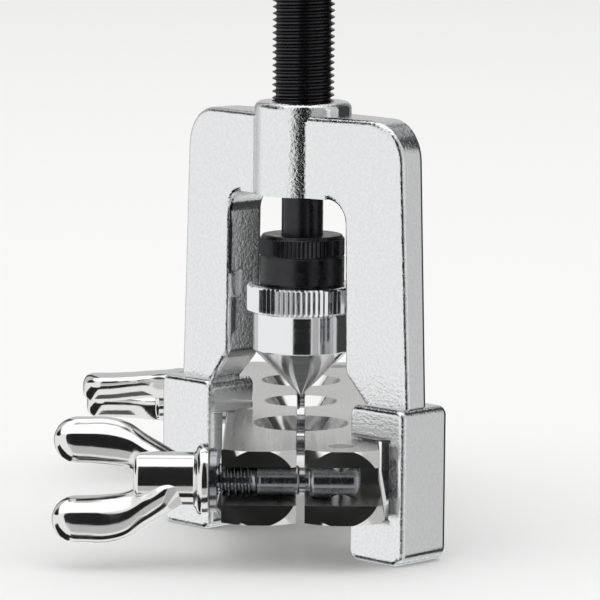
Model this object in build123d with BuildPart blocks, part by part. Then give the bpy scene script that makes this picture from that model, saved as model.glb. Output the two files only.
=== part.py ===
from build123d import *
import math
import os

# Flaring tool for soft copper tube: a split bar of two jaws, closed by two swing bolts
# with wing nuts, and a hooked yoke with a feed screw that drives a 90 degree cone.
# Millimetres. The origin is on the feed screw's axis, at mid-thickness of the bar.
# Z points up along the screw, Y runs along the bar, and its front end is at -Y.

# Split bar
bar_thickness = 14.0
bar_half_width = 14.8
bar_front = -33.5
bar_rear = 82.3
jaw_gap = 1.6
flank_start = -0.5
flank_flare = 1.1
flank_foot = 0.8
end_circle = 7.3
end_cone = 5.0
edge_break = 0.4

# Tube holes, front to rear: place along the bar and tube diameter
hole_pitch = 28.0
tube_sizes = [14.0, 10.0, 12.0]
flare_width = 2.4

# Swing bolts, pivot pins, washers and wing nuts
front_bolt_y = -26.8
rear_bolt_y = 76.0
bolt_height = 0.4
bolt_diameter = 6.35
bolt_shank = 5.8
bolt_end_inset = 1.5
thread_end_x = -8.4
neck_start_x = -0.6
eye_start_x = 2.0
eye_over_thread = 0.25
eye_end_slope = 1.0
pivot_x = 7.6
eye_reach = 3.75
pin_diameter = 4.9
groove_clearance = 0.3
washer_diameter = 12.1
washer_thickness = 1.4
washer_stand_off = 0.9
flange_diameter = 13.9
flange_thickness = 2.8
barrel_diameter = 10.6
barrel_length = 11.4
wing_reach = 15.4
wing_outer = 12.2
wing_thickness = 5.6
wing_tip = 4.5
wing_root = 2.2
wing_round = 1.4
front_wing_angle = 24.0
rear_wing_angle = -68.0

# Guide pins between the jaws
guide_diameter = 4.0
guide_depth = 6.5

# Yoke
yoke_angle = 45.0
hub_radius = 9.4
hub_top = 70.0
hub_round = 1.4
arm_top = 67.7
window_top = 52.0
window_half_top = 15.7
window_half_bottom = 16.2
window_corner = 4.5
leg_outer_top = 28.9
leg_outer_bottom = 31.3
leg_bottom = 14.6
shoulder_radius = 8.0
web_at_hub = 6.1
web_at_edge = 2.7
foot_inner = 19.2
foot_outer = 33.3
foot_half_depth = 6.3
foot_top = 13.7
foot_bottom = -16.2
slot_wall = 29.4
hook_clearance = 0.2
foot_round = 1.2
foot_corner = 3.0
leg_round = 1.1
leg_overlap = 6.0
knee_radius = 3.0
leg_flare = 0.85
hub_blend = 1.8
blend_reach = 11.5

# Feed screw and its cross bar
screw_diameter = 12.0
screw_play = 0.06
neck_diameter = 8.06
screw_tip = 31.4
thread_bottom = 53.6
thread_top = 91.0
head_diameter = 16.0
head_height = 15.0
cross_diameter = 7.6
cross_play = 0.1
cross_length = 92.0
knob_diameter = 12.5
knob_length = 9.0
knob_crown = 9.4
knob_slope = 1.2
head_round = 1.2
spigot_diameter = 4.5
spigot_length = 6.0

# Swivelling head on the screw's lower end
collar_diameter = 16.5
collar_bottom = 34.5
collar_top = 44.2
collar_chamfer = 0.6
collar_spigot = 13.8
collar_spigot_length = 3.4
ring_diameter = 21.3
ring_bottom = 29.0
ring_round = 0.6
cone_diameter = 18.8
cone_shoulder = 21.7
cone_tip_flat = 0.25
ball_diameter = 5.0
ball_gap = 0.15
clip_width = 0.9
clip_groove = 6.6
clip_diameter = 10.4
clip_gap = 3.0
recess_diameter = 11.0

os.makedirs("parts", exist_ok=True)

bar_top = bar_thickness / 2
bar_middle_x = (jaw_gap / 2 + bar_half_width) / 2
hole_places = [index * hole_pitch for index in range(len(tube_sizes))]
guide_places = [hole_pitch * 0.53, hole_pitch * 1.48]
bolt_places = [("front", front_bolt_y, -1), ("rear", rear_bolt_y, 1)]
eye_diameter = bolt_diameter + eye_over_thread
eye_swing = max(
    math.hypot(eye_reach - eye_end_slope, eye_diameter / 2),
    math.hypot(eye_reach, eye_diameter / 2 - eye_end_slope),
)
groove_height = eye_diameter + 2 * groove_clearance
washer_face_x = -bar_half_width - washer_stand_off
nut_face_x = washer_face_x - washer_thickness
barrel_start_x = nut_face_x - flange_thickness
barrel_end_x = barrel_start_x - barrel_length
bolt_end_x = barrel_end_x + bolt_end_inset


def make_jaw(side, guide_radius, guide_hole_depth):
    # One half of the bar: flat inner face, flank that flares low down, ends turned to a
    # 45 degree cone, half of each tube hole, and end grooves for the swing bolts.
    with BuildPart() as jaw:
        with BuildSketch(Plane.XZ.offset(-bar_front)):
            with BuildLine():
                Polyline(
                    (side * jaw_gap / 2, -bar_top),
                    (side * jaw_gap / 2, bar_top),
                    (side * bar_half_width, bar_top),
                    (side * bar_half_width, flank_start),
                    (side * (bar_half_width + flank_flare), flank_foot - bar_top),
                    (side * bar_half_width, -bar_top),
                    close=True,
                )
            make_face()
        extrude(amount=bar_front - bar_rear)
        top_edges = jaw.faces().sort_by(Axis.Z)[-1].edges().filter_by(Axis.Y)
        fillet(top_edges, edge_break)
        with BuildSketch(Plane.XY):
            with BuildLine():
                Polyline(
                    (side * bar_middle_x, bar_front),
                    (side * (bar_middle_x + end_circle), bar_front),
                    (side * (bar_middle_x + end_circle + end_cone), bar_front + end_cone),
                    (side * (bar_middle_x + end_circle + end_cone), bar_rear - end_cone),
                    (side * (bar_middle_x + end_circle), bar_rear),
                    (side * bar_middle_x, bar_rear),
                    close=True,
                )
            make_face()
        revolve(axis=Axis((side * bar_middle_x, 0, 0), (0, 1, 0)), mode=Mode.INTERSECT)
        for place, tube in zip(hole_places, tube_sizes):
            with Locations((0, place, bar_top)):
                CounterSinkHole(tube / 2, tube / 2 + flare_width, bar_thickness, 90)
        for _, bolt_y, outward in bolt_places:
            inner_wall = bolt_y - outward * (eye_swing + groove_clearance)
            outer_end = bar_front if outward < 0 else bar_rear
            with Locations((0, (inner_wall + outer_end) / 2, bolt_height)):
                Box(
                    4 * bar_half_width,
                    abs(outer_end - inner_wall),
                    groove_height,
                    mode=Mode.SUBTRACT,
                )
            if side > 0:
                with Locations((pivot_x, bolt_y, bar_top)):
                    Hole(pin_diameter / 2, bar_thickness)
            else:
                # Flat on the flank, where the washer of the wing nut bears.
                flat_inner = bolt_y - outward * (flange_diameter / 2 + edge_break)
                with Locations((-1.5 * bar_half_width, (outer_end + flat_inner) / 2, 0)):
                    Box(
                        bar_half_width,
                        abs(outer_end - flat_inner),
                        2 * bar_thickness,
                        mode=Mode.SUBTRACT,
                    )
        with BuildSketch(Plane.YZ.offset(side * jaw_gap / 2)):
            with Locations(*[(place, 0) for place in guide_places]):
                Circle(guide_radius)
        extrude(amount=side * guide_hole_depth, mode=Mode.SUBTRACT)
    return jaw


def make_pin(x, y):
    with BuildPart() as pin:
        with BuildSketch(Plane.XY.offset(-bar_top)):
            with Locations((x, y)):
                Circle(pin_diameter / 2)
        extrude(amount=bar_thickness)
    return pin


def make_guide_pin(y):
    with BuildPart() as pin:
        with BuildSketch(Plane.YZ.offset(jaw_gap / 2 + guide_depth)):
            with Locations((y, 0)):
                Circle(guide_diameter / 2)
        extrude(amount=-2 * guide_depth - jaw_gap)
        chamfer(pin.edges().filter_by(GeomType.CIRCLE), edge_break)
    return pin


def make_swing_bolt(y):
    # Turned from round bar: threaded end, slimmer shank, neck at the joint face and a round eye.
    with BuildPart() as bolt:
        with BuildSketch(Plane.XY.offset(bolt_height)):
            with BuildLine():
                Polyline(
                    (bolt_end_x, y),
                    (bolt_end_x, y + bolt_diameter / 2 - edge_break),
                    (bolt_end_x + edge_break, y + bolt_diameter / 2),
                    (thread_end_x, y + bolt_diameter / 2),
                    (thread_end_x + edge_break, y + bolt_shank / 2),
                    (neck_start_x, y + bolt_shank / 2),
                    (neck_start_x + edge_break, y + bolt_shank / 2 - edge_break),
                    (eye_start_x - edge_break, y + bolt_shank / 2 - edge_break),
                    (eye_start_x, y + eye_diameter / 2),
                    (pivot_x + eye_reach - eye_end_slope, y + eye_diameter / 2),
                    (pivot_x + eye_reach, y + eye_diameter / 2 - eye_end_slope),
                    (pivot_x + eye_reach, y),
                    close=True,
                )
            make_face()
        revolve(axis=Axis((0, y, bolt_height), (1, 0, 0)))
        with Locations((pivot_x, y, bolt_height + eye_diameter / 2)):
            Hole(pin_diameter / 2 + screw_play, eye_diameter)
    return bolt


def make_washer(y):
    with BuildPart() as washer:
        with BuildSketch(Plane.YZ.offset(washer_face_x)):
            with Locations((y, bolt_height)):
                Circle(washer_diameter / 2)
                Circle(bolt_diameter / 2 + groove_clearance, mode=Mode.SUBTRACT)
        extrude(amount=-washer_thickness)
        chamfer(washer.edges().group_by(Axis.X)[0].sort_by(SortBy.LENGTH)[-1], edge_break / 2)
    return washer


def make_wing_nut(y, wing_angle):
    # Flange, round barrel and two teardrop wings that lean away from the bar.
    lean = math.radians(wing_angle)
    wing_plane = Plane(
        origin=(0, y, bolt_height),
        x_dir=(1, 0, 0),
        z_dir=(0, -math.cos(lean), math.sin(lean)),
    )
    tip_x = barrel_end_x - wing_reach
    root_x = barrel_end_x + 1.5 * wing_root
    with BuildPart() as nut:
        for side in (1, -1):
            with BuildSketch(wing_plane):
                with Locations((tip_x + wing_tip, side * (wing_outer - wing_tip))):
                    Circle(wing_tip)
                with Locations((root_x, side * (barrel_diameter - wing_root) / 2)):
                    Circle(wing_root)
                make_hull()
            extrude(amount=wing_thickness / 2, both=True)
        wing_faces = nut.faces().filter_by(Axis(wing_plane.origin, wing_plane.z_dir))
        chamfer(wing_faces.edges(), wing_round)
        with BuildSketch(Plane.XY.offset(bolt_height)):
            with BuildLine():
                Polyline(
                    (nut_face_x, y),
                    (nut_face_x, y + flange_diameter / 2 - edge_break),
                    (nut_face_x - edge_break, y + flange_diameter / 2),
                    (barrel_start_x + 2 * edge_break, y + flange_diameter / 2),
                    (barrel_start_x, y + flange_diameter / 2 - 2 * edge_break),
                    (barrel_start_x, y + barrel_diameter / 2),
                    (barrel_end_x + edge_break, y + barrel_diameter / 2),
                    (barrel_end_x, y + barrel_diameter / 2 - edge_break),
                    (barrel_end_x, y),
                    close=True,
                )
            make_face()
        revolve(axis=Axis((0, y, bolt_height), (1, 0, 0)))
        with BuildSketch(Plane.YZ.offset(nut_face_x)):
            with Locations((y, bolt_height)):
                Circle(bolt_diameter / 2 + screw_play)
        extrude(amount=-flange_thickness - barrel_length, mode=Mode.SUBTRACT)
    return nut


# Yoke: drawn in its own plane, whose right side is turned towards the bar's front
turn = math.radians(yoke_angle)
across = (math.cos(turn), -math.sin(turn), 0)
forward = (-math.sin(turn), -math.cos(turn), 0)
across_axis = Axis((0, 0, 0), across)
forward_axis = Axis((0, 0, 0), forward)
yoke_plane = Plane(origin=(0, 0, 0), x_dir=across, z_dir=forward)
yoke_floor = Plane(origin=(0, 0, 0), x_dir=across, z_dir=(0, 0, 1))
slot_half = bar_top + hook_clearance
leg_root = leg_bottom - leg_overlap
knee = leg_bottom + window_corner
web_start = hub_radius * 0.8
web_slope = (web_at_hub - web_at_edge) / (leg_outer_bottom - web_start)
web_at_blend = web_at_hub - web_slope * (blend_reach - web_start)


def is_rim(edge):
    # Long edges of the arms' and legs' faces, without those that the hub and the feet cover.
    middle = edge @ 0.5
    height = abs((edge @ 1 - edge @ 0).Z)
    under_hub = abs(middle.dot(Vector(*across))) < blend_reach and height > hub_round
    return middle.Z > leg_root + leg_round and not (edge.geom_type == GeomType.LINE and under_hub)


with BuildPart() as foot:
    # Right foot: a hook over the bar, a slot as high as the bar and a block under it
    with BuildSketch(yoke_plane):
        with BuildLine():
            Polyline(
                (foot_inner, foot_top),
                (foot_outer, foot_top),
                (foot_outer, foot_bottom),
                (foot_inner, foot_bottom),
                (foot_inner, -slot_half),
                (slot_wall, -slot_half),
                (slot_wall, slot_half),
                (foot_inner, slot_half),
                close=True,
            )
        make_face()
    extrude(amount=foot_half_depth, both=True)
    fillet(foot.edges().filter_by(forward_axis).group_by(across_axis)[-1].sort_by(Axis.Z)[0], foot_corner)
    fillet(foot.edges().filter_by(forward_axis).group_by(Axis.Z)[0], 0.7 * foot_corner)
    fillet(foot.edges().filter_by(forward_axis).group_by(Axis.Z)[-1], 0.6 * foot_corner)
    fillet(foot.faces().filter_by(forward_axis).edges(), foot_round)

with BuildPart() as yoke:
    # Arms and legs: tapered outline, open in the middle, thinner towards the outside
    with BuildSketch(yoke_plane):
        with BuildLine():
            Polyline(
                (-leg_outer_bottom, leg_root),
                (-leg_outer_top, arm_top),
                (leg_outer_top, arm_top),
                (leg_outer_bottom, leg_root),
                close=True,
            )
        make_face()
    extrude(amount=web_at_hub, both=True)
    fillet(yoke.edges().filter_by(forward_axis).group_by(Axis.Z)[-1], shoulder_radius)
    with BuildSketch(yoke_plane):
        with BuildLine():
            Polyline(
                (-window_half_bottom - leg_flare * (knee - leg_root), leg_root),
                (-window_half_bottom, knee),
                (-window_half_top, window_top),
                (window_half_top, window_top),
                (window_half_bottom, knee),
                (window_half_bottom + leg_flare * (knee - leg_root), leg_root),
                close=True,
            )
        make_face()
    extrude(amount=2 * web_at_hub, both=True, mode=Mode.SUBTRACT)
    for height, radius in ((window_top, window_corner), (knee, knee_radius)):
        level = (height - edge_break, height + edge_break)
        fillet(yoke.edges().filter_by(forward_axis).filter_by_position(Axis.Z, *level), radius)
    with BuildSketch(yoke_floor.offset(leg_root)):
        with BuildLine():
            Polyline(
                (web_start, -web_at_hub),
                (leg_outer_bottom, -web_at_edge),
                (leg_outer_bottom, web_at_edge),
                (web_start, web_at_hub),
                (-web_start, web_at_hub),
                (-leg_outer_bottom, web_at_edge),
                (-leg_outer_bottom, -web_at_edge),
                (-web_start, -web_at_hub),
                close=True,
            )
        make_face()
    extrude(amount=hub_top - leg_root, mode=Mode.INTERSECT)
    broad_faces = yoke.faces().filter_by(lambda face: abs(face.normal_at().dot(Vector(*forward))) > 0.9)
    fillet(broad_faces.edges().filter_by(is_rim), leg_round)
    # Hub, blended into both arms, with a rounded rim round the screw
    with BuildSketch(yoke_floor.offset(window_top)):
        with BuildLine():
            Polyline(
                (web_start, -web_at_hub),
                (blend_reach, -web_at_blend),
                (blend_reach, web_at_blend),
                (web_start, web_at_hub),
                (-web_start, web_at_hub),
                (-blend_reach, web_at_blend),
                (-blend_reach, -web_at_blend),
                (-web_start, -web_at_hub),
                close=True,
            )
        make_face()
        Circle(hub_radius)
        offset(amount=hub_blend)
        offset(amount=-hub_blend)
    extrude(amount=arm_top - leg_round - window_top)
    with BuildSketch(Plane.XY.offset(arm_top - 2 * leg_round)):
        Circle(hub_radius)
    extrude(amount=hub_top - arm_top + 2 * leg_round)
    fillet(yoke.edges().filter_by(GeomType.CIRCLE).group_by(Axis.Z)[-1], hub_round)
    add(foot.part)
    add(foot.part.rotate(Axis.Z, 180))
    with Locations((0, 0, hub_top)):
        Hole(screw_diameter / 2 + screw_play, hub_top - window_top)

# Feed screw: slim neck below, fine thread at crest diameter, and a cross-drilled head
neck_radius = neck_diameter / 2
screw_radius = screw_diameter / 2
head_radius = head_diameter / 2
head_top = thread_top + head_height
cross_height = thread_top + head_height / 2
clip_bottom = screw_tip + clip_width
clip_top = clip_bottom + clip_width

with BuildPart() as feed_screw:
    with BuildSketch(Plane.XZ):
        with BuildLine():
            Polyline(
                (0, screw_tip),
                (neck_radius - edge_break, screw_tip),
                (neck_radius, screw_tip + edge_break),
                (neck_radius, clip_bottom),
                (clip_groove / 2, clip_bottom),
                (clip_groove / 2, clip_top),
                (neck_radius, clip_top),
                (neck_radius, thread_bottom - screw_radius + neck_radius),
                (screw_radius, thread_bottom),
                (screw_radius, thread_top),
                (head_radius - edge_break, thread_top),
                (head_radius, thread_top + edge_break),
                (head_radius, head_top - head_round),
                (head_radius - head_round, head_top),
                (0, head_top),
                close=True,
            )
        make_face()
    revolve(axis=Axis.Z)
    with BuildSketch(Plane.YZ):
        with Locations((0, cross_height)):
            Circle(cross_diameter / 2 + cross_play)
    extrude(amount=head_diameter, both=True, mode=Mode.SUBTRACT)

with BuildPart() as retaining_ring:
    # Spring clip in the neck's groove, open on one side
    with BuildSketch(Plane.XY.offset(clip_bottom + 0.05)):
        Circle(clip_diameter / 2)
        Circle(clip_groove / 2 + 0.02, mode=Mode.SUBTRACT)
        with Locations((clip_diameter / 2, 0)):
            Rectangle(clip_diameter, clip_gap, mode=Mode.SUBTRACT)
    extrude(amount=clip_width - 0.1)

with BuildPart() as cross_bar:
    # Plain cross bar with a turned-down spigot for the knob at each end
    with BuildSketch(Plane.YZ.offset(-cross_length / 2)):
        with Locations((0, cross_height)):
            Circle(cross_diameter / 2)
    extrude(amount=cross_length)
    chamfer(cross_bar.edges().filter_by(GeomType.CIRCLE), edge_break)
    with BuildSketch(Plane.YZ.offset(-cross_length / 2 - spigot_length)):
        with Locations((0, cross_height)):
            Circle(spigot_diameter / 2)
    extrude(amount=cross_length + 2 * spigot_length)


def make_knob(side):
    # Turned knob pressed on the spigot, with a flat face against the bar and sloping ends.
    start = side * cross_length / 2
    end = start + side * knob_length
    with BuildPart() as knob:
        with BuildSketch(Plane.XZ):
            with BuildLine():
                Polyline(
                    (start, cross_height),
                    (start, cross_height + knob_crown / 2),
                    (start + side * knob_slope, cross_height + knob_diameter / 2),
                    (end - 2 * side * knob_slope, cross_height + knob_diameter / 2),
                    (end, cross_height + knob_crown / 2),
                    (end, cross_height),
                    close=True,
                )
            make_face()
        revolve(axis=Axis((0, 0, cross_height), (1, 0, 0)))
        with BuildSketch(Plane.YZ.offset(start)):
            with Locations((0, cross_height)):
                Circle(spigot_diameter / 2)
        extrude(amount=side * spigot_length, mode=Mode.SUBTRACT)
    return knob


# Swivelling head: collar screwed into the cone, a ball between the screw's end and the cone
recess_top = clip_top + clip_width
ball_centre = screw_tip - ball_gap - ball_diameter / 2
pocket_radius = ball_diameter / 2 + 0.02
drill_half_angle = math.radians(59)
pocket_depth = pocket_radius / math.sin(drill_half_angle)
bore_radius = collar_spigot / 2
bore_bottom = collar_bottom - collar_spigot_length - 0.2

with BuildPart() as swivel_collar:
    with BuildSketch(Plane.XZ):
        with BuildLine():
            Polyline(
                (neck_radius + screw_play, collar_top),
                (collar_diameter / 2 - collar_chamfer, collar_top),
                (collar_diameter / 2, collar_top - collar_chamfer),
                (collar_diameter / 2, collar_bottom),
                (bore_radius, collar_bottom),
                (bore_radius, collar_bottom - collar_spigot_length),
                (recess_diameter / 2, collar_bottom - collar_spigot_length),
                (recess_diameter / 2, recess_top),
                (neck_radius + screw_play, recess_top),
                close=True,
            )
        make_face()
    revolve(axis=Axis.Z)

with BuildPart() as thrust_ball:
    with Locations((0, 0, ball_centre)):
        Sphere(ball_diameter / 2)

with BuildPart() as flaring_cone:
    # Knurled ring, polished cylinder and 90 degree cone in one piece, bored for collar and ball
    with BuildSketch(Plane.XZ):
        with BuildLine():
            Polyline(
                (0, cone_shoulder - cone_diameter / 2),
                (cone_diameter / 2, cone_shoulder),
                (cone_diameter / 2, ring_bottom),
                (ring_diameter / 2 - ring_round, ring_bottom),
                (ring_diameter / 2, ring_bottom + ring_round),
                (ring_diameter / 2, collar_bottom - ring_round),
                (ring_diameter / 2 - ring_round, collar_bottom),
                (bore_radius, collar_bottom),
                (bore_radius, bore_bottom),
                (pocket_radius, bore_bottom),
                (pocket_radius, ball_centre - pocket_depth + pocket_radius / math.tan(drill_half_angle)),
                (0, ball_centre - pocket_depth),
                close=True,
            )
        make_face()
    revolve(axis=Axis.Z)
    tip = flaring_cone.vertices().sort_by(Axis.Z)[0]
    with BuildSketch(Plane.XY.offset(tip.Z)):
        Circle(ring_diameter)
    extrude(amount=cone_tip_flat, mode=Mode.SUBTRACT)

pieces = {
    "jaw_left": make_jaw(-1, guide_diameter / 2 + screw_play, guide_depth + jaw_gap),
    "jaw_right": make_jaw(1, guide_diameter / 2, guide_depth),
    "yoke": yoke,
    "feed_screw": feed_screw,
    "retaining_ring": retaining_ring,
    "cross_bar": cross_bar,
    "knob_left": make_knob(-1),
    "knob_right": make_knob(1),
    "swivel_collar": swivel_collar,
    "thrust_ball": thrust_ball,
    "flaring_cone": flaring_cone,
}
for end, place in zip(("front", "rear"), guide_places):
    pieces[f"guide_pin_{end}"] = make_guide_pin(place)
for end, place, outward in bolt_places:
    wing_angle = front_wing_angle if outward < 0 else rear_wing_angle
    pieces[f"pivot_pin_{end}"] = make_pin(pivot_x, place)
    pieces[f"swing_bolt_{end}"] = make_swing_bolt(place)
    pieces[f"washer_{end}"] = make_washer(place)
    pieces[f"wing_nut_{end}"] = make_wing_nut(place, wing_angle)

for name, piece in pieces.items():
    piece.part.label = name
    export_step(piece.part, f"parts/{name}.step")
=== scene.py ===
import math

import bmesh
import bpy
from mathutils import Matrix, Vector


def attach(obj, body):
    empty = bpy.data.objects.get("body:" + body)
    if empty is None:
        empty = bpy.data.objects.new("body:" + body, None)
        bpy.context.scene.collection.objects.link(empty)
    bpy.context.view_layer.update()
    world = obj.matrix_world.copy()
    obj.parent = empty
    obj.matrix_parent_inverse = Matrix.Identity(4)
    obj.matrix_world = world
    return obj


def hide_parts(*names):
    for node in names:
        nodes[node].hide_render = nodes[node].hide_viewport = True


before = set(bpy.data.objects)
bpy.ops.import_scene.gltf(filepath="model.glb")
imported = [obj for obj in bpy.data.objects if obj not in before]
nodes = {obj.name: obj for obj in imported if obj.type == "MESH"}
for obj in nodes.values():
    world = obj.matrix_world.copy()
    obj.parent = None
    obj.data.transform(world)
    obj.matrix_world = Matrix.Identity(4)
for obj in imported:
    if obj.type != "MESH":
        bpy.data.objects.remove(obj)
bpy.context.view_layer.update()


# Split bar: two jaws of flat steel, ground on every face and nickel plated, with a satin
# grain along the bar. They are drilled together, so each one holds half of every hole.
class Wire:
    """A shader value that is written in sums like a number."""

    def __init__(self, tree, socket):
        self.tree = tree
        self.socket = socket

    def make(self, kind, settings=None, values=None, out=0):
        """Adds a node, gives it its settings and inputs, and returns the wire of one output."""
        node = self.tree.nodes.new(kind)
        for name, value in (settings or {}).items():
            setattr(node, name, value)
        for name, value in (values or {}).items():
            if isinstance(value, Wire):
                self.tree.links.new(value.socket, node.inputs[name])
            else:
                node.inputs[name].default_value = value
        return Wire(self.tree, node.outputs[out] if node.outputs else None)

    def combine(self, operation, first, second=0):
        """Two wires or numbers joined by a Math operation."""
        return self.make("ShaderNodeMath", {"operation": operation}, {0: first, 1: second})

    def __add__(self, other):
        return self.combine("ADD", self, other)

    def __sub__(self, other):
        return self.combine("SUBTRACT", self, other)

    def __rsub__(self, other):
        return self.combine("SUBTRACT", other, self)

    def __mul__(self, other):
        return self.combine("MULTIPLY", self, other)

    def __abs__(self):
        return self.combine("ABSOLUTE", self)

    __radd__ = __add__
    __rmul__ = __mul__


def start_metal(name, colour=(0.8, 0.8, 0.8), metallic=1.0):
    """A metal, with the wire of its object coordinates in metres and its shader. Each metal
    below feeds its own roughness, and some their own colour."""
    material = bpy.data.materials.new(name)
    material.use_nodes = True
    shader = material.node_tree.nodes["Principled BSDF"]
    shader.inputs["Base Color"].default_value = (*colour, 1)
    shader.inputs["Metallic"].default_value = metallic
    place = Wire(material.node_tree, None).make("ShaderNodeTexCoord", out=3)
    return material, place, shader


def grain(place, scale, detail=2.0, stretch=(1, 1, 1), rough=0.5):
    """Noise of so many bumps to the metre, drawn out along an axis by a small stretch."""
    spot = place.make("ShaderNodeMapping", values={"Vector": place, "Scale": stretch})
    values = {"Vector": spot, "Scale": scale, "Detail": detail, "Roughness": rough}
    return spot.make("ShaderNodeTexNoise", values=values)


def spread(value, low, high, from_low=0.3, from_high=0.7):
    """The usual run of a noise brought to a range of values."""
    values = {"Value": value, "From Min": from_low, "From Max": from_high}
    values |= {"To Min": low, "To Max": high}
    return value.make("ShaderNodeMapRange", values=values)


def link(wire, socket):
    """Feeds a shader's socket from a wire."""
    wire.tree.links.new(wire.socket, socket)


def raise_bumps(height, shader, strength, distance):
    """Turns a height into the shader's normal; distance is in metres."""
    values = {"Height": height, "Strength": strength, "Distance": distance}
    bump = height.make("ShaderNodeBump", values=values)
    link(bump, shader.inputs["Normal"])


def blend_colours(mask, first, second):
    """A colour that goes from the first to the second as the mask goes from 0 to 1."""
    values = {"Factor": mask, "A": (*first, 1), "B": (*second, 1)}
    return mask.make("ShaderNodeMix", {"data_type": "RGBA"}, values, out=2)


def coat_node(name, material):
    """Puts a material on a CAD node in place of the plain one."""
    data = nodes[name].data
    data.materials.clear()
    data.materials.append(material)


satin_nickel, place, shader = start_metal("satin_nickel")
streaks = grain(place, 1500, detail=3, stretch=(1, 0.03, 1))
clouds = grain(place, 60, detail=3)
# The bevels and grooves of the ends face along the bar and are turned bright, not ground
facing = place.make("ShaderNodeTexCoord", out=1)
endways = facing.make("ShaderNodeSeparateXYZ", values={"Vector": facing}, out=1)
turned_end = endways.combine("GREATER_THAN", abs(endways), 0.5)
ground = 1 - turned_end
ground_roughness = spread(streaks, 0.24, 0.42)
turned_roughness = spread(clouds, 0.08, 0.2)
link(ground_roughness * ground + turned_end * turned_roughness, shader.inputs["Roughness"])
nickel_shades = (0.70, 0.695, 0.68), (0.79, 0.785, 0.77)
link(blend_colours(spread(clouds, 0, 1), *nickel_shades), shader.inputs["Base Color"])
raise_bumps(streaks * ground, shader, strength=0.25, distance=0.00002)
for jaw in ("jaw_left", "jaw_right"):
    coat_node(jaw, satin_nickel)

# Pins: hard ground steel. The two pivot pins are pressed in flush, and two guide pins keep
# the jaws in line. The ball that takes the thrust of the screw and the ring that holds its
# neck in the collar are of the same steel.
# The steel's colour is darkened below that of bright ground steel as painted shade, for the shadow
# the pins sit in; the ball and the ring share it.
shaded_pin_steel, place, shader = start_metal("shaded_pin_steel", (0.3, 0.3, 0.31))
turning = grain(place, 2500)
link(spread(turning, 0.18, 0.36), shader.inputs["Roughness"])
raise_bumps(turning, shader, strength=0.2, distance=0.00001)
for end in ("front", "rear"):
    coat_node(f"pivot_pin_{end}", shaded_pin_steel)
    coat_node(f"guide_pin_{end}", shaded_pin_steel)
coat_node("thrust_ball", shaded_pin_steel)
coat_node("retaining_ring", shaded_pin_steel)

# Swing bolts: steel rod with a rolled quarter-inch thread, a slimmer shank, a neck at the joint
# of the jaws and a drilled eye, zinc plated. Each one turns on its pivot pin in the end groove.
mm = 0.001
# The zinc's colour is darkened below that of bright plating as painted shade, for the shadow of the
# end groove that the bolts lie in.
zinc_steel, place, shader = start_metal("zinc_steel", (0.4, 0.41, 0.43))
plating = grain(place, 1500, detail=3)
link(spread(plating, 0.14, 0.3), shader.inputs["Roughness"])
raise_bumps(plating, shader, strength=0.15, distance=0.00002)


def turn(shape, outline, sides, hollow=False):
    """Turns an outline of (height, radius, tooth depth) about Z into one closed skin, with
    a tooth to every four sides."""
    sides_to_tooth = 4
    rings = []
    for height, radius, cut in outline:
        ring = []
        for step in range(sides if radius else 1):
            angle = math.tau * step / sides
            in_tooth = abs((step % sides_to_tooth) / sides_to_tooth - 0.5) * 2
            reach = radius - cut * (1 - in_tooth)
            ring.append(shape.verts.new((reach * math.cos(angle), reach * math.sin(angle), height)))
        rings.append(ring)
    if hollow:
        rings.append(rings[0])
    for ring, other in zip(rings, rings[1:]):
        for step in range(sides):
            following = (step + 1) % sides
            corners = [ring[step % len(ring)], ring[following % len(ring)]]
            corners += [other[following % len(other)], other[step % len(other)]]
            corners = list(dict.fromkeys(corners))
            if len(corners) > 2:
                shape.faces.new(corners)


def cut_thread(shape, low, high, crest, depth, pitch, sides=48):
    """A closed right-hand screw about Z: rows of points that climb one pitch in a turn."""
    # Share of the pitch and of the depth at the crest's two edges and the root's two edges
    profile = ((0.0, 0.0), (0.14, 0.0), (0.45, 1.0), (0.69, 1.0))
    rows = []
    for lap in range(-1, int((high - low) / pitch) + 3):
        for share, cut in profile:
            row = []
            for step in range(sides):
                height = low + (lap + share + step / sides) * pitch
                height = min(max(height, low), high)
                bevel = min(height - low, high - height)
                reach = min(crest - depth * cut, crest - depth + bevel)
                angle = math.tau * step / sides
                spot = (reach * math.cos(angle), reach * math.sin(angle), height)
                row.append(shape.verts.new(spot))
            rows.append(row)
    lap_rows = len(profile)
    for index in range(len(rows) - lap_rows - 1):
        lower, upper = rows[index], rows[index + 1]
        lower_end, upper_end = rows[index + lap_rows][0], rows[index + lap_rows + 1][0]
        for step in range(sides):
            right = lower[step + 1] if step + 1 < sides else lower_end
            over = upper[step + 1] if step + 1 < sides else upper_end
            shape.faces.new((lower[step], right, over, upper[step]))
    same_spot = 1e-7
    bmesh.ops.remove_doubles(shape, verts=shape.verts, dist=same_spot)
    bmesh.ops.dissolve_degenerate(shape, edges=shape.edges, dist=same_spot)
    loose = [vert for vert in shape.verts if not vert.link_faces]
    bmesh.ops.delete(shape, geom=loose, context="VERTS")
    close_ends(shape)


def close_ends(shape):
    """Fills every hole that is left in a skin."""
    rims = [edge for edge in shape.edges if edge.is_boundary]
    bmesh.ops.holes_fill(shape, edges=rims, sides=0)


def scale_outline(outline):
    """An outline given in millimetres, in metres, with no teeth where none are given and with
    a ring near each end of its long runs, so that these shade as true cylinders."""
    long_run, margin = 0.8, 0.1
    rows = [(row[0], row[1], row[2] if len(row) > 2 else 0) for row in outline]
    held = rows[:1]
    for before, after in zip(rows, rows[1:]):
        run = math.dist(before[:2], after[:2])
        if run > long_run and before[1] and after[1]:
            for share in (margin / run, 1 - margin / run):
                held.append([a + (b - a) * share for a, b in zip(before, after)])
        held.append(after)
    return [[value * mm for value in row] for row in held]


def sharpen(mesh, crease=32):
    """Keeps the edges sharp that turn by more than the crease angle in degrees."""
    mesh.set_sharp_from_angle(angle=math.radians(crease))


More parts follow.
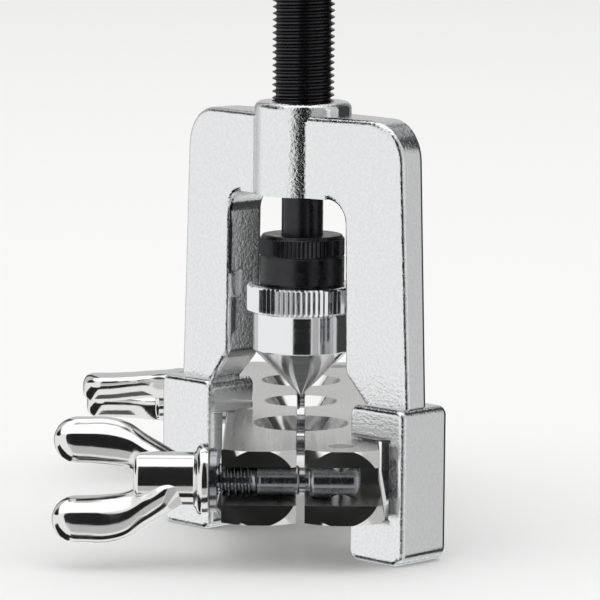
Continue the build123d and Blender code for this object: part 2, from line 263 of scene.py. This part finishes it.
def finish_mesh(name, shape, material, matrix=None, crease=32):
    """Makes the piece from its skin, which is used up, and smooths it between its creases."""
    bmesh.ops.recalc_face_normals(shape, faces=shape.faces)
    mesh = bpy.data.meshes.new(name)
    shape.to_mesh(mesh)
    shape.free()
    if matrix:
        mesh.transform(matrix)
    mesh.polygons.foreach_set("use_smooth", [True] * len(mesh.polygons))
    sharpen(mesh, crease)
    mesh.materials.append(material)
    piece = bpy.data.objects.new(name, mesh)
    bpy.context.scene.collection.objects.link(piece)
    return piece


def drill(piece, centre, direction, radius, length):
    """Cuts a round hole through a piece, with a drill of that length about the centre."""
    cylinder = bmesh.new()
    low, high = -length / 2, length / 2
    turn(cylinder, [(low, 0, 0), (low, radius, 0), (high, radius, 0), (high, 0, 0)], sides=48)
    spin = Vector(direction).to_track_quat("Z", "Y").to_matrix().to_4x4()
    place_drill = Matrix.Translation(centre) @ spin
    cutter = finish_mesh("drill", cylinder, piece.data.materials[0], place_drill)
    hole = piece.modifiers.new("hole", "BOOLEAN")
    hole.operation = "DIFFERENCE"
    hole.object = cutter
    drilled = piece.evaluated_get(bpy.context.evaluated_depsgraph_get())
    piece.data = bpy.data.meshes.new_from_object(drilled)
    piece.modifiers.clear()
    bpy.data.objects.remove(cutter)
    sharpen(piece.data)


towards_x = Matrix.Rotation(math.pi / 2, 4, "Y")
# Place of each bolt along the bar, in millimetres, and lean of its nut's ears, in degrees
bolt_spots = {"front": (-26.8, 24.0), "rear": (76.0, -68.0)}
axis_height = 0.4
bolt_tip, thread_end = -29.8, -8.4
bolt_radius, bolt_thread_depth, bolt_pitch = 3.175, 0.72, 1.27
pin_x, pin_hole_radius = 7.6, 2.51
for end, (along, _) in bolt_spots.items():
    rod = bmesh.new()
    cut_thread(
        rod, bolt_tip * mm, thread_end * mm,
        bolt_radius * mm, bolt_thread_depth * mm, bolt_pitch * mm,
    )
    # Place along the bolt and radius
    shank = [
        (-8.6, 0), (-8.6, 2.35), (-8.3, 2.6), (-8.1, 3.05), (-7.7, 3.05), (-7.45, 2.9),
        (-0.6, 2.9), (-0.35, 2.75), (-0.2, 2.5), (1.6, 2.5), (1.8, 2.6), (1.9, 2.95),
        (2.15, 3.2), (2.5, 3.3), (9.9, 3.3), (10.4, 3.22), (10.85, 2.95), (11.15, 2.5),
        (11.3, 1.9), (11.35, 0),
    ]
    turn(rod, scale_outline(shank), sides=56)
    spot = Matrix.Translation((0, along * mm, axis_height * mm))
    bolt = finish_mesh(f"bolt_{end}", rod, zinc_steel, spot @ towards_x)
    eye_centre = (pin_x * mm, along * mm, axis_height * mm)
    drill(bolt, eye_centre, (0, 0, 1), pin_hole_radius * mm, length=10 * mm)
    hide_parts(f"swing_bolt_{end}")
    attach(bolt, f"{end}_bolt")

# Washers: a flat round one under each wing nut, stamped from steel strip and zinc plated like
# the bolts. It lies loose on the bolt, against the left jaw's flank.
for washer in ("washer_front", "washer_rear"):
    # They take the bolts' zinc colour, which is darkened as painted shade.
    coat_node(washer, zinc_steel)

# Wing nuts: forged with a round barrel, a collar flange and two ears that lean away from the
# bar, then drilled and tapped, barrelled smooth and nickel plated.
forged_nickel, place, shader = start_metal("forged_nickel", (0.82, 0.82, 0.81))
ripple = grain(place, 350)
link(spread(ripple, 0.06, 0.15), shader.inputs["Roughness"])
raise_bumps(ripple, shader, strength=0.12, distance=0.0001)


def flow(stations, share):
    """A smooth value between stations, each one a row of numbers, at a share of their run."""
    reached = share * (len(stations) - 1)
    start = min(int(reached), len(stations) - 2)
    part = reached - start
    before = stations[max(start - 1, 0)]
    after = stations[min(start + 2, len(stations) - 1)]
    result = []
    for p0, p1, p2, p3 in zip(before, stations[start], stations[start + 1], after):
        bend = 2 * p0 - 5 * p1 + 4 * p2 - p3
        twist = 3 * p1 - p0 - 3 * p2 + p3
        result.append(p1 + 0.5 * part * (p2 - p0 + part * (bend + part * twist)))
    return result


def grow_ear(shape, side, spin):
    """One ear: ridged oval sections from inside the barrel out to a round thumb rest."""
    # Place along the bolt, distance of the middle from the axis, half width, half thickness
    # and how far the middle stands aside of the ears' common plane
    stations = [
        (-20.2, 1.8, 2.0, 1.6, 1.2), (-24.8, 3.2, 3.6, 3.3, 1.9), (-29.0, 5.0, 4.1, 3.2, 1.3),
        (-32.5, 6.9, 4.4, 3.0, 0.8), (-36.5, 7.6, 4.6, 3.0, 0.3), (-41.0, 7.65, 4.5, 3.1, 0.0),
        (-46.6, 7.65, 4.5, 3.1, 0.0),
    ]
    round_start = -42.2
    round_length = round_start - stations[-1][0]
    # Above 1 the sections have a ridge along the middle of each face and along each edge
    ridge = 1.4
    spans, points = 48, 36
    rows = []
    for index in range(spans + 1):
        along, middle, half_width, half_depth, aside = flow(stations, index / spans)
        if along < round_start:
            gone = min((round_start - along) / round_length, 1)
            gone = math.sin(gone * math.pi / 2)
            along = round_start - gone * round_length
            half_width *= math.sqrt(max(1 - gone * gone, 0))
            half_depth *= max(1 - gone**5, 0) ** 0.4
        row = []
        for step in range(points):
            angle = math.tau * step / points
            across, deep = math.cos(angle), math.sin(angle)
            across = half_width * math.copysign(abs(across) ** ridge, across)
            deep = half_depth * math.copysign(abs(deep) ** ridge, deep)
            spot = Vector((along, side * (middle + across), side * (deep - aside))) * mm
            row.append(shape.verts.new(spin @ spot))
        rows.append(row)
    for lower, upper in zip(rows, rows[1:]):
        for step in range(points):
            following = (step + 1) % points
            shape.faces.new((lower[step], lower[following], upper[following], upper[step]))
    shape.faces.new(rows[0])
    bmesh.ops.remove_doubles(shape, verts=rows[-1], dist=1e-6)
    close_ends(shape)


# Place along the bolt and radius: flange, barrel and the two ends of the bore
barrel = [
    (-17.12, 3.24), (-17.12, 6.5), (-17.3, 6.84), (-17.7, 6.94), (-18.4, 6.94), (-19.0, 6.75),
    (-19.4, 6.3), (-19.6, 5.6), (-20.0, 5.32), (-30.4, 5.3), (-30.9, 5.15), (-31.2, 4.8),
    (-31.3, 4.4), (-31.3, 3.5), (-31.0, 3.24),
]
for end, (along, lean) in bolt_spots.items():
    nut_shape = bmesh.new()
    turn(nut_shape, scale_outline(barrel), sides=96, hollow=True)
    bmesh.ops.transform(nut_shape, matrix=towards_x, verts=nut_shape.verts)
    spin = Matrix.Rotation(math.radians(90 - lean), 4, "X")
    for side in (1, -1):
        grow_ear(nut_shape, side, spin)
    spot = Matrix.Translation((0, along * mm, axis_height * mm))
    nut = finish_mesh(f"nut_{end}", nut_shape, forged_nickel, spot, crease=40)
    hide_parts(f"wing_nut_{end}")
    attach(nut, f"{end}_nut")

# Yoke: an inverted U of malleable iron, cast in sand and plated with bright chrome, so the fine
# grain of the sand still shows. Its narrow sides are dressed smooth before plating, its hub is
# threaded for the screw and its feet hook round the bar.
cast_chrome, place, shader = start_metal("cast_chrome")
sand = grain(place, 1700, detail=3, rough=0.6)
waves = grain(place, 160)
link(spread(sand, 0.04, 0.13), shader.inputs["Roughness"])
chrome_shades = (0.77, 0.785, 0.79), (0.87, 0.88, 0.885)
link(blend_colours(spread(sand, 0, 1), *chrome_shades), shader.inputs["Base Color"])
# The yoke stands at 45 degrees to the bar, and so do the narrow sides of its legs
leg_side = (0.707, -0.707, 0)
facing = place.make("ShaderNodeTexCoord", out=1)
values = {0: facing, 1: leg_side}
sideways = facing.make("ShaderNodeVectorMath", {"operation": "DOT_PRODUCT"}, values, out=1)
dressed = spread(abs(sideways), 0, 0.9, from_low=0.8, from_high=0.95)
raise_bumps((sand * 0.7 + waves * 0.3) * (1 - dressed), shader, strength=0.7, distance=0.0002)
coat_node("yoke", cast_chrome)


# Cheeks: they close the slot of each foot on the side that the bar never reaches, with an inner
# face that follows the bar's flank, and a narrow strip edges the slot's back wall at its open
# side. They are cast in one with the yoke and chromed with it.
def stack_rings(shape, outlines):
    """A closed skin over level outlines, each one a height and its corners in millimetres."""
    stack = []
    for height, outline in outlines:
        stack.append([shape.verts.new((x * mm, y * mm, height * mm)) for x, y in outline])
    shape.faces.new(stack[0])
    shape.faces.new(stack[-1])
    for lower, upper in zip(stack, stack[1:]):
        for step in range(len(lower)):
            shape.faces.new((lower[step], lower[step - 1], upper[step - 1], upper[step]))


# The cheeks stand proud of the cast foot by a hair, so that no seam shows
proud = 0.01
foot_face, foot_end, slot_back, corner_radius = 6.3 + proud, 19.2 - proud, 30.9, 1.2
corner_x, corner_y = foot_end + corner_radius, foot_face - corner_radius
strip_back = 31.0
strip = [(strip_back, -4.8), (29.5, -4.8), (29.5, -5.95), (29.86, -foot_face)]
strip.append((strip_back, -foot_face))
strip_reach = 7.3
for side, turned in (("left", 135), ("right", -45)):
    cheek_shape = bmesh.new()
    levels = []
    for height, flank in ((-8.8, 4.1), (-6.4, 4.1), (-0.4, 2.6), (8.8, 2.6)):
        # The corner is round, and a row close on each side of it keeps the faces beside it flat
        section = [(slot_back, flank), (slot_back, foot_face), (20.6, foot_face), (20.4, foot_face)]
        for step in range(1, 6):
            bend = math.pi / 2 * (1 + step / 6)
            round_x = corner_x + corner_radius * math.cos(bend)
            section.append((round_x, corner_y + corner_radius * math.sin(bend)))
        section += [(foot_end, 5.1), (foot_end, 4.9), (foot_end, flank + 0.2), (19.4, flank)]
        levels.append((height, section))
    stack_rings(cheek_shape, levels)
    stack_rings(cheek_shape, [(-strip_reach, strip), (strip_reach, strip)])
    spin = Matrix.Rotation(math.radians(turned), 4, "Z")
    cheek = finish_mesh(f"cheek_{side}", cheek_shape, cast_chrome, spin, crease=40)
    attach(cheek, "yoke_frame")

# Feed screw: free-cutting steel with a fine rolled thread, a ground neck and a head drilled for
# the cross bar, all in oiled black oxide.
black_oxide, place, shader = start_metal("black_oxide", (0.042, 0.042, 0.046), 0.9)
oil = grain(place, 700, detail=3)
link(spread(oil, 0.2, 0.4), shader.inputs["Roughness"])
raise_bumps(oil, shader, strength=0.15, distance=0.00003)
screw_bottom, screw_top = 53.6, 91.2
screw_radius, screw_thread_depth, screw_pitch = 6.0, 0.72, 1.25
screw_shape = bmesh.new()
cut_thread(
    screw_shape, screw_bottom * mm, screw_top * mm,
    screw_radius * mm, screw_thread_depth * mm, screw_pitch * mm, sides=72,
)
# Height above the bar's middle and radius: tip, groove of the retaining ring, neck and taper
neck = [
    (31.4, 0), (31.4, 3.6), (31.8, 4.03), (32.3, 4.03), (32.3, 3.3), (33.2, 3.3), (33.2, 4.03),
    (51.6, 4.03), (53.7, 5.2), (53.7, 0),
]
turn(screw_shape, scale_outline(neck), sides=64)
head_shape = bmesh.new()
head = [
    (91.0, 0), (91.0, 7.5), (91.1, 7.8), (91.4, 8.0), (104.6, 8.0), (105.3, 7.85), (105.8, 7.4),
    (106.0, 6.8), (106.0, 0),
]
turn(head_shape, scale_outline(head), sides=96)
drilled_head = finish_mesh("head", head_shape, black_oxide)
cross_hole_height, cross_hole_radius = 98.5, 3.9
hole_centre = (0, 0, cross_hole_height * mm)
drill(drilled_head, hole_centre, (1, 0, 0), cross_hole_radius * mm, length=30 * mm)
screw_shape.from_mesh(drilled_head.data)
bpy.data.objects.remove(drilled_head)
screw = finish_mesh("screw", screw_shape, black_oxide)
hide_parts("feed_screw")
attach(screw, "screw")

# Swivel collar: turned black steel with a fine straight knurl round its upper edge. It is screwed
# into the cone and turns freely on the screw's neck.
collar_shape = bmesh.new()
# Height, radius and depth of the knurl, where there is one
collar = [
    (44.2, 4.1), (44.2, 7.3), (44.1, 7.7), (43.75, 7.95), (43.65, 8.0), (43.45, 8.2, 0.05),
    (43.3, 8.25, 0.3), (40.4, 8.25, 0.3), (40.15, 8.2, 0.05), (40.1, 8.12), (39.9, 8.15),
    (39.8, 8.25), (34.8, 8.25), (34.55, 8.1), (34.5, 6.9), (31.1, 6.9), (31.1, 5.5), (34.1, 5.5),
    (34.1, 4.1),
]
turn(collar_shape, scale_outline(collar), sides=240, hollow=True)
collar_piece = finish_mesh("collar", collar_shape, black_oxide)
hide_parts("swivel_collar")
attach(collar_piece, "cone_head")

# Flaring cone: hardened steel with a coarse knurled ring for the fingers, a polished barrel and
# the 90 degree cone, turned in one piece and chromed. The cross bar and its knobs match it.
turned_chrome, place, shader = start_metal("turned_chrome", (0.85, 0.86, 0.87))
tool_marks = grain(place, 900, stretch=(0.02, 0.02, 1))
link(spread(tool_marks, 0.07, 0.17), shader.inputs["Roughness"])
raise_bumps(tool_marks, shader, strength=0.1, distance=0.00001)
cone_shape = bmesh.new()
# Height, radius and depth of the knurl: point, cone, barrel, knurled ring and the bore above
cone = [
    (12.55, 0), (12.55, 0.25), (21.6, 9.3), (21.75, 9.4), (28.7, 9.4), (28.95, 9.45), (29.0, 9.9),
    (29.15, 10.4, 0.2), (29.5, 10.65, 0.45), (34.0, 10.65, 0.45), (34.3, 10.4, 0.2),
    (34.5, 9.9), (34.5, 6.9), (30.9, 6.9), (30.9, 2.52), (27.2, 2.52), (25.9, 0),
]
turn(cone_shape, scale_outline(cone), sides=256)
cone_piece = finish_mesh("cone", cone_shape, turned_chrome)
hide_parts("flaring_cone")
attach(cone_piece, "cone_head")
for piece in ("cross_bar", "knob_left", "knob_right"):
    coat_node(piece, turned_chrome)

# Studio: a pale matt floor under the feet, in a white room with soft lamps above and to the
# left. Cards round the part, as in a photographer's tent, show only as its reflections: mostly
# black behind the camera and below, grey on the right and at the back, and white above.
room = bpy.data.worlds.new("room")
bpy.context.scene.world = room
room.use_nodes = True
tree = room.node_tree
tree.nodes.clear()
rays = tree.nodes.new("ShaderNodeLightPath")
seen = Wire(tree, rays.outputs["Is Camera Ray"])
glossy = Wire(tree, rays.outputs["Is Glossy Ray"])
glass = Wire(tree, rays.outputs["Is Transmission Ray"])
showing = seen.combine("MAXIMUM", seen, glossy.combine("MAXIMUM", glossy, glass))
values = {"Color": (1, 1, 1, 1), "Strength": 0.94}
light = seen.make("ShaderNodeBackground", values=values)
values = {"Color": (0.93, 0.935, 0.935, 1), "Strength": 1.0}
backdrop = seen.make("ShaderNodeBackground", values=values)
mixed = seen.make("ShaderNodeMixShader", values={0: showing, 1: light, 2: backdrop})
seen.make("ShaderNodeOutputWorld", values={"Surface": mixed})


def place_panel(name, spot, aim, size):
    """A flat rectangle whose face is turned to a point."""
    mesh = bpy.data.meshes.new(name)
    half_wide, half_high = size[0] / 2, size[1] / 2
    corners = [
        (-half_wide, -half_high, 0), (half_wide, -half_high, 0),
        (half_wide, half_high, 0), (-half_wide, half_high, 0),
    ]
    mesh.from_pydata(corners, [], [(0, 1, 2, 3)])
    panel = bpy.data.objects.new(name, mesh)
    bpy.context.scene.collection.objects.link(panel)
    panel.location = spot
    panel.rotation_euler = (Vector(aim) - Vector(spot)).to_track_quat("-Z", "Y").to_euler()
    material = bpy.data.materials.new(name)
    material.use_nodes = True
    mesh.materials.append(material)
    return panel, material.node_tree.nodes["Principled BSDF"]


sole_height = -16.2
floor, paint = place_panel("floor", (0, 0, sole_height * mm), (0, 0, -1), (9, 9))
paint.inputs["Base Color"].default_value = (0.86, 0.86, 0.855, 1)
paint.inputs["Roughness"].default_value = 0.9
paint.inputs["Specular IOR Level"].default_value = 0.0
floor.visible_glossy = False


def place_lamp(name, spot, size, power):
    """A rectangular soft lamp that is turned to the part; its power is in watts."""
    data = bpy.data.lights.new(name, "AREA")
    data.shape = "RECTANGLE"
    data.size, data.size_y = size
    data.energy = power
    lamp = bpy.data.objects.new(name, data)
    bpy.context.scene.collection.objects.link(lamp)
    lamp.location = spot
    lamp.rotation_euler = (-Vector(spot)).to_track_quat("-Z", "Y").to_euler()
    lamp.visible_glossy = False


place_lamp("soft_left", (-1.6, -0.9, 0.9), (1.2, 1.2), 3.6)
place_lamp("soft_top", (0.0, -0.2, 2.2), (2.0, 2.0), 9.0)


def place_card(name, spot, aim, size, shade):
    """A card of one even shade of grey that shows in reflections only."""
    card, paint = place_panel(name, spot, aim, size)
    paint.inputs["Base Color"].default_value = (0, 0, 0, 1)
    paint.inputs["Specular IOR Level"].default_value = 0.0
    paint.inputs["Emission Color"].default_value = (shade, shade, shade, 1)
    paint.inputs["Emission Strength"].default_value = 1.0
    card.visible_camera = False
    card.visible_diffuse = False
    card.visible_shadow = False


def stand_card(name, bearing, distance, width, low, high, shade):
    """An upright card; its bearing is in degrees round from the camera's side, to the right."""
    turned = math.radians(bearing)
    middle = (low + high) / 2
    spot = (distance * math.sin(turned), -distance * math.cos(turned), middle)
    place_card(name, spot, (0, 0, middle), (width, high - low), shade)


def lay_card(name, spot, size, shade):
    """A level card, turned to the height of the bar."""
    place_card(name, spot, (spot[0], spot[1], 0), size, shade)


stand_card("black_front", 1.5, 1.0, 0.79, -0.3, 3.2, 0.018)
stand_card("grey_front_low", 1.5, 1.02, 0.79, -0.8, -0.3, 0.55)
stand_card("black_upper_left", -95, 1.0, 1.3, 0.36, 1.2, 0.02)
stand_card("grey_front_right", 42, 1.05, 0.62, -1.5, 2.0, 0.45)
stand_card("grey_right", 101, 1.05, 1.4, -1.5, 1.6, 0.62)
place_card("black_near_right", (0.25, 0.174, 0.12), (0, 0.174, 0.12), (0.34, 0.6), 0.05)
stand_card("grey_back", 180, 1.2, 3.2, -0.5, 1.9, 0.6)
stand_card("black_back_right", 156, 1.15, 0.2, -1.5, 1.5, 0.03)
stand_card("black_back_left", -156, 1.15, 0.2, -1.5, 1.5, 0.03)
lay_card("black_under", (0.1, -0.44, -0.6), (0.7, 0.32), 0.02)
lay_card("grey_below", (0, 0.11, -0.6), (0.3, 0.22), 0.1)
lay_card("black_low_left", (-0.7, 0, -0.6), (0.9, 0.9), 0.02)
lay_card("white_above", (-0.1, 0.15, 1.3), (1.6, 1.6), 1.3)

# Camera: a long lens on a stand in front of the bar's end, a little above the part and tilted
# down at it. It is rolled by a hair, as the picture is.
lens_data = bpy.data.cameras.new("camera")
lens_data.sensor_width = 36.0
lens_data.lens = 220.6
lens_data.clip_start = 0.01
camera = bpy.data.objects.new("camera", lens_data)
bpy.context.scene.collection.objects.link(camera)
tilt_down = math.radians(7.357)
roll = math.radians(0.431)
camera.location = (-0.000335, -0.70870, 0.12270)
camera.rotation_euler = (math.pi / 2 - tilt_down, 0, 0)
camera.rotation_euler.rotate_axis("Z", roll)
bpy.context.scene.camera = camera
bpy.context.scene.view_settings.view_transform = "Standard"
